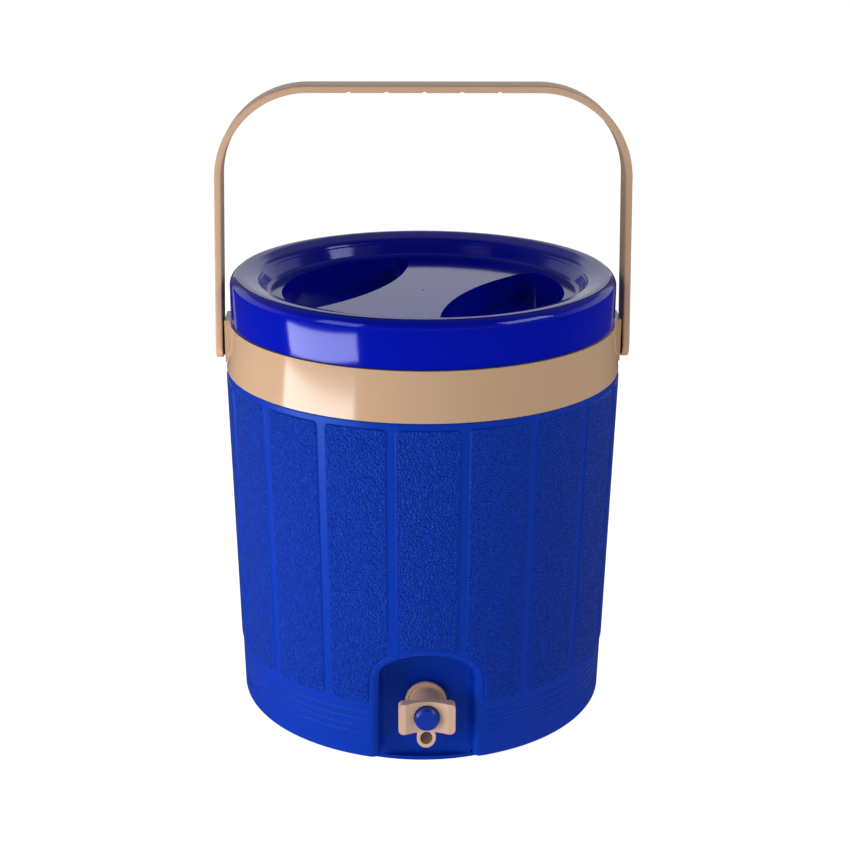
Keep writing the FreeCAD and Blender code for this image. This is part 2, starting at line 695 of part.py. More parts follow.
def make_tap():
    flange_back = s.alcove_wall_y + s.washer_thick
    flange_face = flange_back + s.tap_flange_thick
    flange = along_y("tap_flange", s.tap_flange_radius, flange_face, flange_back)
    cone = doc.addObject("Part::Cone", "tap_cone")
    bind(cone, "Radius1", s.cone_radius)
    bind(cone, "Radius2", s.barrel_radius)
    bind(cone, "Height", s.cone_length)
    place(cone, y=-flange_face, z=s.tap_height, axis=V(1, 0, 0), angle=90.0)
    barrel = along_y("tap_barrel", s.barrel_radius, s.barrel_face, flange_back)
    shank = along_y("tap_shank", s.shank_radius, flange_back + 1.0, s.shank_end)
    low, high = s.tap_height - s.plate_half_height, s.tap_height + s.plate_half_height
    slab = box("finger_slab", -s.plate_half, s.plate_half, -s.plate_front, -s.plate_back, low, high)
    scoop = cylinder("finger_scoop", s.plate_curve, high - low + 2.0,
                     y=-s.plate_face - s.plate_curve, z=low - 1.0)
    plate = cut("finger_plate", slab, scoop)
    tube = cylinder("spout_tube", s.spout_radius, s.tap_height - s.spout_tip + 5.0, y=-s.spout_y,
                    z=s.spout_tip - 5.0)
    bevel = doc.addObject("Part::Box", "spout_bevel_tool")
    reach = s.spout_radius * 6.0
    for prop in ("Length", "Width", "Height"):
        bind(bevel, prop, reach)
    slope = math.radians(SIZES["spout_bevel"])
    overshoot = 10.0
    place(bevel, x=-reach / 2, y=-s.spout_y + s.spout_radius + overshoot * math.cos(slope),
          z=s.spout_tip - overshoot * math.sin(slope), axis=V(1, 0, 0), angle=-s.spout_bevel + 180.0)
    spout = cut("spout_cut", tube, bevel)
    solid = fuse("tap_solid", flange, cone, barrel, shank, plate, spout)
    floor = s.chamber_floor
    seat_back = floor - s.seat_thick
    mouth = along_y("button_mouth", s.mouth_radius, s.barrel_face + 10.0, s.barrel_face - s.mouth_depth)
    chamber = along_y("button_chamber", s.chamber_radius, s.barrel_face + 10.0, floor)
    seat = along_y("valve_opening", s.seat_radius, floor + 1.0, seat_back - 1.0)
    flow = along_y("flow_bore", s.flow_radius, seat_back, s.shank_end - 1.0)
    spout_bore = cylinder("spout_hollow", s.spout_bore, s.tap_height - s.spout_tip, y=-s.spout_y,
                          z=s.spout_tip - 2.0)
    node(cut("tap_body", solid, mouth, chamber, seat, flow, spout_bore), "tap_body")

    inner_face = s.liner_pad_back - s.washer_thick
    ring("tap_outer_washer", s.outer_washer_radius, s.shank_hole, flange_back, s.alcove_wall_y)
    ring("tap_inner_washer", s.inner_washer_radius, s.shank_hole, s.liner_pad_back, inner_face)
    hexagon = doc.addObject("Part::Prism", "nut_hexagon")
    hexagon.Polygon = 6
    bind(hexagon, "Circumradius", s.nut_radius)
    bind(hexagon, "Height", s.nut_length)
    place(hexagon, y=-inner_face, z=s.tap_height, axis=V(1, 0, 0), angle=-90.0)
    nut_hole = along_y("nut_hole", s.nut_bore, inner_face + 1.0, inner_face - s.nut_length - 1.0)
    node(cut("tap_lock_nut", hexagon, nut_hole), "tap_lock_nut")


def make_valve():
    """What slides with the button: its ring, stem, seal and retainer."""
    crown = s.button_face - s.button_chamfer
    skirt = along_y("button_skirt", s.button_radius, crown, s.button_back)
    bevelled = doc.addObject("Part::Cone", "button_edge")
    bind(bevelled, "Radius1", s.button_radius)
    bind(bevelled, "Radius2", s.button_radius - s.button_chamfer)
    bind(bevelled, "Height", s.button_chamfer)
    place(bevelled, y=-crown, z=s.tap_height, axis=V(1, 0, 0), angle=90.0)
    cup_face = s.button_face - s.button_crown
    cup = along_y("button_cup", s.button_cup, cup_face, s.button_back - 1.0)
    boss = along_y("button_boss", s.button_boss, cup_face + 0.5, s.button_back + 2.0)
    socket = along_y("button_socket", s.stem_hole, s.stem_front + 0.1, s.button_back - 1.0)
    ring_back = s.ring_front - s.ring_length
    groove_outer = along_y("groove_outer", s.chamber_radius, s.ring_front, ring_back)
    groove_inner = along_y("groove_inner", s.ring_groove, s.ring_front + 1.0, ring_back - 1.0)
    groove = cut("button_groove", groove_outer, groove_inner)
    hollow = cut("button_shell", fuse("button_solid", skirt, bevelled), cup)
    node(cut("push_button", fuse("button_with_boss", hollow, boss), socket, groove), "push_button")
    ring("button_o_ring", s.chamber_radius - s.ring_clearance, s.ring_groove, s.ring_front, ring_back)

    seal_near = s.chamber_floor - s.seat_thick - s.seal_gap
    seal_far = seal_near - s.seal_thick
    retainer_far = seal_far - s.retainer_thick
    ring("valve_seal", s.seal_radius, s.stem_hole, seal_near, seal_far)
    ring("seal_retainer", s.retainer_radius, s.stem_hole, seal_far, retainer_far)
    rod = along_y("stem_rod", s.stem_radius, s.stem_front, retainer_far)
    head = along_y("stem_head", s.stem_head_radius, retainer_far, retainer_far - s.stem_head_length)
    node(fuse("valve_stem", rod, head), "valve_stem")


def make_spring():
    """Coil between the chamber's floor and the inside of the button's crown."""
    wire = SIZES["spring_wire"]
    start = SIZES["chamber_floor"] + wire + 0.1
    end = SIZES["button_face"] - SIZES["button_crown"] - wire - 0.1
    radius = SIZES["spring_radius"]
    pitch = (end - start) / SIZES["spring_turns"]
    path = Part.makeHelix(pitch, end - start, radius)
    profile = Part.Wire(Part.makeCircle(wire, V(radius, 0, 0), V(0, 1, 0)))
    coil = Part.Wire(path).makePipeShell([profile], True, True)
    spring = doc.addObject("Part::Feature", "return_spring")
    spring.Shape = coil
    place(spring, y=-start, z=SIZES["tap_height"], axis=V(1, 0, 0), angle=90.0)
    node(spring, "return_spring")


# ---------------------------------------------------------------- build, check, write

def check_and_write():
    doc.recompute()
    faults = [obj.Name for obj in doc.Objects if "Invalid" in obj.State or "Error" in obj.State]
    if faults:
        raise RuntimeError("objects that failed: " + ", ".join(faults))
    os.makedirs("parts", exist_ok=True)
    for obj in NODES:
        shape = obj.Shape
        if shape.isNull() or not shape.isValid() or not shape.Solids:
            raise RuntimeError("bad shape: " + obj.Label)
        shape.exportStep("parts/" + obj.Label + ".step")
        size = shape.BoundBox
        print("%-18s %2d solids %10.1f mm3  z %.1f..%.1f" % (
            obj.Label, len(shape.Solids), shape.Volume, size.ZMin, size.ZMax))


make_outer_shell()
make_base()
make_collar()
make_liner()
make_foam()
make_lid()
make_handle()
make_tap()
make_valve()
make_spring()
check_and_write()
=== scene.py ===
import math

import bmesh
import bpy
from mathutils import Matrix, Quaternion, Vector


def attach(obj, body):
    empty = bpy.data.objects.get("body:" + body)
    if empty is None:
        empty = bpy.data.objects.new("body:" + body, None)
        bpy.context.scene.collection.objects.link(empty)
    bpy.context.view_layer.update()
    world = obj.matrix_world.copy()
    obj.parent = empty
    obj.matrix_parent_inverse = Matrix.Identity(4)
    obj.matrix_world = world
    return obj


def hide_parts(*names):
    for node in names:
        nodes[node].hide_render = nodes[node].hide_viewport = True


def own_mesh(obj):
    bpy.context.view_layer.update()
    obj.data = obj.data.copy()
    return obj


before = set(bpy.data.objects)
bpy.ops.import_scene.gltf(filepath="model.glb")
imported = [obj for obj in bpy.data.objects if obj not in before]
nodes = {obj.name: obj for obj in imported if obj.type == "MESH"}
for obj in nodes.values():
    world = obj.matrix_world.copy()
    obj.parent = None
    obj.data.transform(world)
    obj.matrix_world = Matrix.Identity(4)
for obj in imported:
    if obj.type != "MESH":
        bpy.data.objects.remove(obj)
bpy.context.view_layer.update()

MM = 0.001

# ------------------------------------------------------------ sizes, in millimetres

RIM, SEAM = 11.0, 268.5
R_RIM, R_SEAM = 139.5, 145.55
RELIEF = 0.8
PITCH, STRIP_HALF = 20.0, 3.25
PANEL_LOW, PANEL_HIGH, PANEL_CORNER = 56.5, 263.4, 3.0
GROOVES = (31.5, 37.0, 42.9, 48.7)
ARCH_HALF, ARCH_SPRING, ARCH_RISE, ARCH_SHOULDER = 36.0, 74.0, 22.0, 16.0
SURROUND = 4.6
BACK_WALL = 113.5
PEDESTAL, FOOT_TOP = 116.0, 3.0
WINDOW_ANGLE, WINDOW_TOP = 20.0, 109.0
FRONT_ANGLE, FRONT_TOP = 30.0, 125.0
TOP_INNER, FOOT_INNER = 138.4, 100.5
APRON_HALF, APRON_BACK = 33.0, 111.2
LIP_REACH, LIP_ROUND, LIP_STEP, LIP_STEPS = 4.2, 6.4, 8.2, 10
REVEAL_INSET, REVEAL_DEPTH, REVEAL_WIDTH = -2.9, 8.0, 7.6
LINE_OFFSETS = (0.25, 0.5, 0.75, 1.1, 1.6, 2.2, 3.0, 4.0, 5.0)
LINE_END = 6.0
RIM_ROUND, SEAM_ROUND = 1.5, 0.8


# ------------------------------------------------------------ mesh helpers

def make_object(name, vertices, faces, smooth=True, marks=None):
    """Mesh object from millimetre vertices; marks gives a material index for each face."""
    mesh = bpy.data.meshes.new(name)
    mesh.from_pydata([(x * MM, y * MM, z * MM) for x, y, z in vertices], [], faces)
    if marks:
        mesh.polygons.foreach_set("material_index", marks)
    mesh.polygons.foreach_set("use_smooth", [smooth] * len(mesh.polygons))
    mesh.validate()
    mesh.update()
    obj = bpy.data.objects.new(name, mesh)
    bpy.context.scene.collection.objects.link(obj)
    return obj


def arc(cx, cy, radius, start, end, steps):
    """Points of an arc, angles in degrees."""
    turn = [math.radians(start + (end - start) * i / steps) for i in range(steps + 1)]
    return [(cx + radius * math.cos(a), cy + radius * math.sin(a)) for a in turn]


def rounded(corners, steps=8):
    """Polyline whose corners (x, y, radius) are replaced by arcs; the first and last stay sharp."""
    out = [corners[0][:2]]
    for before, here, after in zip(corners, corners[1:], corners[2:]):
        p = Vector(here[:2])
        radius = here[2] if len(here) > 2 else 0.0
        a = (Vector(before[:2]) - p).normalized()
        b = (Vector(after[:2]) - p).normalized()
        half = a.angle(b) / 2
        if radius <= 0 or half > 1.565:
            out.append(tuple(p))
            continue
        centre = p + (a + b).normalized() * (radius / math.sin(half))
        first = p + a * (radius / math.tan(half)) - centre
        last = p + b * (radius / math.tan(half)) - centre
        sweep = first.angle_signed(last)
        for i in range(steps + 1):
            turn = -sweep * i / steps
            c, s = math.cos(turn), math.sin(turn)
            out.append((centre.x + first.x * c - first.y * s, centre.y + first.x * s + first.y * c))
    out.append(corners[-1][:2])
    return out


def revolve(name, outline, segments=288, closed=True):
    """Solid of revolution about Z from a (radius, height) outline; points on the axis are shared."""
    vertices, rings = [], []
    for radius, height in outline:
        if radius < 1e-6:
            rings.append([len(vertices)] * segments)
            vertices.append((0.0, 0.0, height))
            continue
        rings.append(list(range(len(vertices), len(vertices) + segments)))
        for i in range(segments):
            a = 2 * math.pi * i / segments
            vertices.append((radius * math.cos(a), radius * math.sin(a), height))
    faces = []
    pairs = list(zip(rings, rings[1:])) + ([(rings[-1], rings[0])] if closed else [])
    for low, high in pairs:
        for i in range(segments):
            j = (i + 1) % segments
            face = []
            for v in (low[i], low[j], high[j], high[i]):
                if v not in face:
                    face.append(v)
            if len(face) > 2:
                faces.append(face)
    obj = make_object(name, vertices, faces)
    outward(obj)
    return obj


def outward(obj):
    """Make the faces of a closed mesh point outwards."""
    mesh = bmesh.new()
    mesh.from_mesh(obj.data)
    bmesh.ops.recalc_face_normals(mesh, faces=mesh.faces)
    mesh.to_mesh(obj.data)
    mesh.free()


def prism(name, outline, low, high):
    """Upright prism from an (x, y) outline."""
    n = len(outline)
    vertices = [(x, y, low) for x, y in outline] + [(x, y, high) for x, y in outline]
    faces = [list(range(n))[::-1], list(range(n, 2 * n))]
    faces += [[i, (i + 1) % n, n + (i + 1) % n, n + i] for i in range(n)]
    obj = make_object(name, vertices, faces)
    outward(obj)
    return obj


def combine(target, tool, operation):
    """Apply an exact boolean and drop the tool."""
    step = target.modifiers.new("combine", "BOOLEAN")
    step.operation = operation
    step.solver = "EXACT"
    step.object = tool
    bpy.context.view_layer.update()
    shape = target.evaluated_get(bpy.context.evaluated_depsgraph_get())
    mesh = bpy.data.meshes.new_from_object(shape)
    target.modifiers.clear()
    target.data = mesh
    bpy.data.objects.remove(tool)


def soften(obj, width, angle=35.0, segments=3, harden=True):
    """Rounded edges where faces meet at more than the angle."""
    bevel = obj.modifiers.new("soft_edges", "BEVEL")
    bevel.width = width * MM
    bevel.segments = segments
    bevel.limit_method = "ANGLE"
    bevel.angle_limit = math.radians(angle)
    bevel.harden_normals = harden
    bevel.miter_outer = "MITER_ARC"
    return obj


# ------------------------------------------------------------ body skin

def smoothstep(low, high, value):
    """Smooth change from 0 at low to 1 at high."""
    t = min(1.0, max(0.0, (value - low) / (high - low)))
    return t * t * (3 - 2 * t)


def arch_geometry():
    """Shoulder centre, crown radius, crown centre height and the angle where the arcs meet."""
    side = ARCH_HALF - ARCH_SHOULDER
    crown = (side ** 2 + ARCH_RISE ** 2 - ARCH_SHOULDER ** 2) / (2 * (ARCH_RISE - ARCH_SHOULDER))
    return side, crown, ARCH_SPRING + ARCH_RISE - crown, math.atan2(crown - ARCH_RISE, side)


SIDE, CROWN, CROWN_Z, MEET = arch_geometry()


def arch_distance(x, z):
    """Signed distance from the arch's outline, negative inside."""
    x = abs(x)
    if z < ARCH_SPRING:
        return x - ARCH_HALF
    if math.atan2(z - CROWN_Z, x) > MEET:
        return math.hypot(x, z - CROWN_Z) - CROWN
    return math.hypot(x - SIDE, z - ARCH_SPRING) - ARCH_SHOULDER


def arch_station(x, z):
    """Outline point and outward normal that belong to a point outside the arch."""
    sign = -1.0 if x < 0 else 1.0
    if z <= ARCH_SPRING:
        return (sign * ARCH_HALF, z), (sign, 0.0)
    direction = math.atan2(z - ARCH_SPRING, abs(x))
    c, s = math.cos(direction), math.sin(direction)
    shoulder = SIDE * c + math.sqrt(max(0.0, (SIDE * c) ** 2 - SIDE ** 2 + ARCH_SHOULDER ** 2))
    drop = ARCH_SPRING - CROWN_Z
    crown = -drop * s + math.sqrt((drop * s) ** 2 - drop ** 2 + CROWN ** 2)
    px, pz = shoulder * c, ARCH_SPRING + shoulder * s
    if (SIDE * c) ** 2 >= SIDE ** 2 - ARCH_SHOULDER ** 2 and math.atan2(pz - CROWN_Z, px) <= MEET + 1e-6:
        nx, nz = (px - SIDE) / ARCH_SHOULDER, (pz - ARCH_SPRING) / ARCH_SHOULDER
    else:
        px, pz = crown * c, ARCH_SPRING + crown * s
        nx, nz = px / CROWN, (pz - CROWN_Z) / CROWN
    return (sign * px, pz), (sign * nx, nz)


def panel_distance(angle, z):
    """Signed distance from the nearest panel's outline, negative on the panel."""
    radius = R_RIM + (R_SEAM - R_RIM) * (z - RIM) / (SEAM - RIM)
    per_degree = math.radians(1.0) * radius
    across = abs((angle + PITCH / 2) % PITCH - PITCH / 2) * per_degree
    half = PITCH / 2 * per_degree - STRIP_HALF
    dx = across - (half - PANEL_CORNER)
    dz = abs(z - (PANEL_LOW + PANEL_HIGH) / 2) - ((PANEL_HIGH - PANEL_LOW) / 2 - PANEL_CORNER)
    outside = math.hypot(max(dx, 0.0), max(dz, 0.0))
    return outside + min(max(dx, dz), 0.0) - PANEL_CORNER


def skin_radius(angle, z):
    """Radius of the body's outer surface with its panels and grooves."""
    radius = R_RIM + (R_SEAM - R_RIM) * (z - RIM) / (SEAM - RIM) - RELIEF
    beyond = 99.0
    if abs(angle) < FRONT_ANGLE and z < FRONT_TOP:
        beyond = arch_distance(radius * math.sin(math.radians(angle)), z) - SURROUND
    radius += RELIEF * smoothstep(0.5, -0.5, panel_distance(angle, z)) * smoothstep(0.2, 1.2, beyond)
    for level in GROOVES:
        near = abs(z - level)
        if near < 1.3:
            radius -= 0.7 * smoothstep(1.2, 0.3, near) * smoothstep(0.0, 3.0, beyond)
    radius -= 0.35 * math.exp(-(beyond / 0.45) ** 2) * smoothstep(40.0, 56.0, z)
    if z < RIM + RIM_ROUND:
        radius -= RIM_ROUND - math.sqrt(max(0.0, RIM_ROUND ** 2 - (RIM + RIM_ROUND - z) ** 2))
    if z > SEAM - SEAM_ROUND:
        radius -= SEAM_ROUND - math.sqrt(max(0.0, SEAM_ROUND ** 2 - (z - SEAM + SEAM_ROUND) ** 2))
    return radius


def skin_point(angle, z):
    """Point of the outer surface; angle 0 faces the tap."""
    radius = skin_radius(angle, z)
    a = math.radians(angle)
    return (radius * math.sin(a), -radius * math.cos(a), z)


def front_y(x, z):
    """Y of the outer surface over a point of the front view."""
    angle = math.degrees(math.asin(x / 141.0))
    radius = skin_radius(angle, z)
    return -math.sqrt(radius ** 2 - x ** 2)


def column_angles():
    """Angles of the skin's vertical grid lines, close together at the panel edges."""
    near = [0, 1.4, 2.4, 2.75, 3.0, 3.25, 3.5, 3.75, 4.1, 4.9, 5.8, 6.9, 9.5, 14.0, 19.0]
    per_degree = math.radians(1.0) * 142.5
    one = sorted({-v / per_degree for v in near} | {v / per_degree for v in near})
    angles = []
    for k in range(18):
        centre = -170.0 + PITCH * k
        angles += [round(centre + a, 5) for a in one] + [round(centre + PITCH / 2, 5)]
    return angles


def row_levels():
    """Heights of the skin's horizontal grid lines, close together at grooves and panel ends."""
    levels = [RIM, RIM + 0.12, RIM + 0.45, RIM + 0.9, RIM + 1.5, 16.0, 20.0, 25.0, 29.0]
    for level in GROOVES:
        levels += [level + d for d in (-1.25, -0.9, -0.6, -0.3, 0, 0.3, 0.6, 0.9, 1.25)]
    levels += [52.5, 55.0, 55.8, 56.1, 56.3, 56.5, 56.7, 56.9, 57.3, 58.0, 58.8, 59.6, 61.0]
    levels += [69.0 + 8.0 * i for i in range(24)]
    levels += [258.5, 260.3, 261.2, 262.0, 262.6, 263.0, 263.2, 263.4, 263.6, 263.8, 264.2, 265.2]
    levels += [267.7, 268.1, 268.35, 268.5]
    return levels


def build_skin():
    """Body skin: a grid round the jug, joined to the alcove's edge, with its top, underside and foot."""
    vertices, faces, marks, smooth = [], [], [], []
    where = {}

    def add(key, point):
        if key not in where:
            where[key] = len(vertices)
            vertices.append(point)
        return where[key]

    def face(keys, mark=0, flat=False):
        faces.append([where[k] for k in keys])
        marks.append(mark)
        smooth.append(not flat)

    def textured(angle, z):
        if panel_distance(angle, z) > -0.4:
            return 0
        near_front = abs(angle) < FRONT_ANGLE and z < FRONT_TOP
        if near_front and arch_distance(141.0 * math.sin(math.radians(angle)), z) < SURROUND + 0.8:
            return 0
        return 1

    angles, levels = column_angles(), row_levels()
    count = len(angles)
    for j, z in enumerate(levels):
        for i, angle in enumerate(angles):
            if z < WINDOW_TOP and abs(angle) < WINDOW_ANGLE - 0.01:
                continue
            add(("g", i, j), skin_point(angle, z))
    for j in range(len(levels) - 1):
        middle = (levels[j] + levels[j + 1]) / 2
        for i in range(count):
            k = (i + 1) % count
            turn = (angles[k] - angles[i]) % 360.0
            between = angles[i] + turn / 2
            if middle < WINDOW_TOP and abs(between) < WINDOW_ANGLE:
                continue
            face([("g", i, j), ("g", k, j), ("g", k, j + 1), ("g", i, j + 1)], textured(between, middle))

    # window round the alcove: lines run from the arch out to the grid
    left = min(range(count), key=lambda i: abs(angles[i] + WINDOW_ANGLE))
    right = min(range(count), key=lambda i: abs(angles[i] - WINDOW_ANGLE))
    top = min(range(len(levels)), key=lambda j: abs(levels[j] - WINDOW_TOP))
    border = [(left, j) for j in range(top)] + [(i, top) for i in range(left, right + 1)]
    border += [(right, j) for j in range(top - 1, -1, -1)]
    for n, (i, j) in enumerate(border):
        bx, _, bz = skin_point(angles[i], levels[j])
        (ax, az), (nx, nz) = arch_station(bx, bz)
        lip = (ax + nx * LIP_REACH, az + nz * LIP_REACH)
        line = (ax + nx * (SURROUND - 0.15), az + nz * (SURROUND - 0.15))
        reach = math.hypot(bx - line[0], bz - line[1])
        row = [(x, front_y(x, z), z) for x, z in (lip, line)]
        for offset in LINE_OFFSETS:
            share = offset / LINE_END
            if reach >= 8.0:
                share = offset / LINE_END * (0.55 + 0.45 * offset / LINE_END)
            x, z = line[0] + (bx - line[0]) * share, line[1] + (bz - line[1]) * share
            row.append((x, front_y(x, z), z))
        inner = []
        for k in range(1, LIP_STEPS + 1):
            turn = math.radians(LIP_STEP * k)
            t = LIP_REACH - LIP_ROUND * math.sin(turn)
            x, z = ax + nx * t, az + nz * t
            y = front_y(ax + nx * max(t, 0.0), az + nz * max(t, 0.0)) + LIP_ROUND * (1 - math.cos(turn))
            inner.append((x, y, z))
        y1 = inner[-1][1]
        t1 = LIP_REACH - LIP_ROUND * math.sin(math.radians(LIP_STEP * LIP_STEPS))
        t2, y2 = REVEAL_INSET, -BACK_WALL - REVEAL_DEPTH
        for k in range(1, 5):
            share = k / 4.0
            t = t1 + (t2 - t1) * share
            inner.append((ax + nx * t, y1 + (y2 - y1) * share, az + nz * t))
        for k in range(1, 8):
            turn = math.radians(90.0 * k / 7)
            t = t2 - REVEAL_WIDTH * (1 - math.cos(turn))
            inner.append((ax + nx * t, y2 + REVEAL_DEPTH * math.sin(turn), az + nz * t))
        line_points = inner[::-1] + row
        if levels[j] <= RIM + 0.01:
            line_points = [(x, y, RIM) for x, y, _ in line_points]
        for m, point in enumerate(line_points):
            add(("w", n, m), point)
        where[("w", n, len(line_points))] = where[("g", i, j)]
        depth = len(line_points)
    for n in range(len(border) - 1):
        for m in range(depth):
            keys = [("w", n, m), ("w", n, m + 1), ("w", n + 1, m + 1), ("w", n + 1, m)]
            x, _, z = [sum(vertices[where[k]][c] for k in keys) / 4 for c in range(3)]
            mark = 0
            if m > 22:
                mark = textured(math.degrees(math.asin(x / 142.0)), z)
            face(keys, mark)
    last = len(border) - 1
    face([("w", n, 0) for n in range(len(border))], flat=True)

    # top edge, underside and the wall that stands in the foot
    for i in range(count):
        a = math.radians(angles[i])
        add(("top", i), (TOP_INNER * math.sin(a), -TOP_INNER * math.cos(a), SEAM))
        if abs(angles[i]) > WINDOW_ANGLE - 0.01:
            add(("in", i), (PEDESTAL * math.sin(a), -PEDESTAL * math.cos(a), RIM))
            add(("foot", i), (PEDESTAL * math.sin(a), -PEDESTAL * math.cos(a), FOOT_TOP))
            add(("floor", i), (FOOT_INNER * math.sin(a), -FOOT_INNER * math.cos(a), FOOT_TOP))
    for i in range(count):
        k = (i + 1) % count
        face([("g", i, len(levels) - 1), ("g", k, len(levels) - 1), ("top", k), ("top", i)], flat=True)
        if left <= i < right:
            continue
        face([("g", k, 0), ("g", i, 0), ("in", i), ("in", k)], flat=True)
        face([("in", k), ("in", i), ("foot", i), ("foot", k)])
        face([("foot", k), ("foot", i), ("floor", i), ("floor", k)], flat=True)
    for side, n, i in ((-1, 0, left), (1, last, right)):
        add(("corner", side), (side * APRON_HALF, -BACK_WALL, RIM))
        add(("corner_in", side), (side * APRON_HALF, -APRON_BACK, RIM))
        add(("corner_low", side), (side * APRON_HALF, -BACK_WALL, FOOT_TOP))
        add(("corner_in_low", side), (side * APRON_HALF, -APRON_BACK, FOOT_TOP))
        outline = [("w", n, m) for m in range(depth + 1)]
        face(outline + [("in", i), ("corner_in", side), ("corner", side)], flat=True)
        face([("corner_in", side), ("in", i), ("foot", i), ("corner_in_low", side)], flat=True)
        edge = [("corner", side), ("corner_in", side), ("corner_in_low", side), ("corner_low", side)]
        face(edge, flat=True)
    tongue = [("corner", -1), ("w", 0, 0), ("w", last, 0), ("corner", 1)]
    face(tongue + [("corner_low", 1), ("corner_low", -1)], flat=True)
    obj = make_object("body_skin", vertices, faces, marks=marks)
    obj.data.polygons.foreach_set("use_smooth", smooth)
    outward(obj)
    return obj


# ------------------------------------------------------------ lid

LID_LOW, LID_HIGH, DISH, LID_WALL = 304.4, 338.1, 323.2, 2.5
POCKET_FLOOR, POCKET_TURN = 303.4, -25.7


def pocket_outline(grow, turn, steps=40):
    """Overlap of two circles with rounded corners, grown by grow."""
    outer, inner, reach, corner = 103.5 + grow, 190.0 + grow, 220.5, 12.0 + grow
    a, b = outer - corner, inner - corner
    x = (a * a - b * b + reach * reach) / (2 * reach)
    y = math.sqrt(a * a - x * x)
    rise, fall = math.degrees(math.atan2(y, x)), math.degrees(math.atan2(y, x - reach))
    points = arc(0, 0, outer, -rise, rise, steps)
    points += arc(x, y, corner, rise, fall, 12)[1:]
    points += arc(reach, 0, inner, fall, 360.0 - fall, steps)[1:]
    points += arc(x, -y, corner, 360.0 - fall, 360.0 - rise, 12)[1:-1]
    c, s = math.cos(math.radians(turn)), math.sin(math.radians(turn))
    return [(px * c - py * s, px * s + py * c) for px, py in points]


def build_lid():
    """Turned lid top with two pockets sunk into its dish."""
    wall = LID_WALL
    top = rounded([
        (141.0, LID_LOW + 0.6), (141.0, LID_HIGH, 7.5), (132.6, LID_HIGH, 30.0),
        (120.6, LID_HIGH - 2.9, 5.0), (114.8, DISH, 5.5), (0.0, DISH)], steps=10)
    under = rounded([
        (0.0, DISH - wall), (113.2, DISH - wall, 6.0), (119.0, LID_HIGH - 5.6, 3.0),
        (131.0, LID_HIGH - wall, 8.0), (138.5, LID_HIGH - wall, 5.0), (138.5, LID_LOW + 0.2)], steps=6)
    skirt = rounded([(138.5, LID_LOW + 0.2), (138.5, LID_LOW), (141.0, LID_LOW, 0.6), (141.0, LID_LOW + 1.2)],
                    steps=4)
    outline = top[1:] + under + skirt[1:-1]
    lid = revolve("lid_top", outline, closed=True)
    for turn in (POCKET_TURN, POCKET_TURN + 180.0):
        combine(lid, prism("tub", pocket_outline(wall, turn), POCKET_FLOOR - wall, DISH - 1.2), "UNION")
    for turn in (POCKET_TURN, POCKET_TURN + 180.0):
        combine(lid, prism("hollow", pocket_outline(0.0, turn), POCKET_FLOOR, DISH + 20.0), "DIFFERENCE")
    dimple = prism("dimple", arc(0, 0, 1.0, 0, 345, 23), DISH - 0.5, DISH + 5.0)
    combine(lid, dimple, "DIFFERENCE")
    lid.data.polygons.foreach_set("use_smooth", [abs(face.normal.z) < 0.9999 for face in lid.data.polygons])
    return soften(lid, 1.3, angle=38.0, segments=4)


# ------------------------------------------------------------ handle

PIVOT, BAR_TOP, STRAP, STRAP_HALF = 286.3, 472.9, 5.1, 13.3
LEAN, LEG_MIDDLE, BEND = 1.53, 150.05, 64.5
EDGE_ROUND, NOTCH_DEPTH = 1.1, 0.9
NOTCHES = (-53.0, -26.5, 0.0, 26.5, 53.0)


def build_handle():
    """Flat strap swept from pivot to pivot, with rounded ends and five small notches."""
    lean = math.tan(math.radians(LEAN))
    foot = PIVOT - STRAP_HALF
    top_z = BAR_TOP - STRAP / 2
    corner_x = LEG_MIDDLE - (top_z - foot) * lean
    path = rounded([(LEG_MIDDLE, foot), (corner_x, top_z, BEND), (0.0, top_z)], steps=40)
    legs = [foot + STRAP_HALF * (1 - math.cos(math.radians(a))) for a in range(0, 91, 6)]
    line = [(LEG_MIDDLE - (z - foot) * lean, z) for z in legs] + path[1:-1]
    marks = []
    for centre in NOTCHES:
        marks += [centre - 2.3, centre - 2.0, centre - 0.25, centre + 0.25, centre + 2.0, centre + 2.3]
    bar_end = path[-2][0]
    marks += [side * x for side in (-1, 1) for x in (13.0, 40.0, 60.0, 66.0)]
    bar = sorted((m for m in marks if abs(m) < bar_end - 0.5), reverse=True)
    whole = line + [(x, top_z) for x in bar] + [(-x, z) for x, z in reversed(line)]
    section = []
    r = EDGE_ROUND
    half = STRAP / 2
    for cx, cy, start in ((1, 1, 0), (-1, 1, 90), (-1, -1, 180), (1, -1, 270)):
        section += [(cx, cy, math.radians(start + 18 * k)) for k in range(6)]
    vertices, faces, rings = [], [], []
    for n, (x, z) in enumerate(whole):
        ahead, behind = whole[min(n + 1, len(whole) - 1)], whole[max(n - 1, 0)]
        tangent = Vector((ahead[0] - behind[0], ahead[1] - behind[1])).normalized()
        normal = Vector((tangent.y, -tangent.x))
        below = PIVOT - z
        width = STRAP_HALF if below <= 0 else math.sqrt(max(0.3, STRAP_HALF ** 2 - below ** 2))
        cut = 0.0
        if abs(z - top_z) < 0.01:
            near = [abs(x - c) for c in NOTCHES if abs(x - c) < 2.05]
            cut = max([NOTCH_DEPTH * (1 - max(0.0, away - 0.25) / 1.75) for away in near] or [0.0])
        ring = []
        for cx, cy, a in section:
            across = cx * (width - min(r, width)) + min(r, width) * math.cos(a)
            out = cy * (half - r) + r * math.sin(a)
            if out < 0:
                out += cut
            ring.append(len(vertices))
            vertices.append((x + normal.x * out, across, z + normal.y * out))
        rings.append(ring)
    count = len(section)
    for a, b in zip(rings, rings[1:]):
        faces += [[a[i], a[(i + 1) % count], b[(i + 1) % count], b[i]] for i in range(count)]
    faces += [rings[0][::-1], rings[-1]]
    obj = make_object("handle_strap", vertices, faces)
    outward(obj)
    return obj


# ------------------------------------------------------------ tap

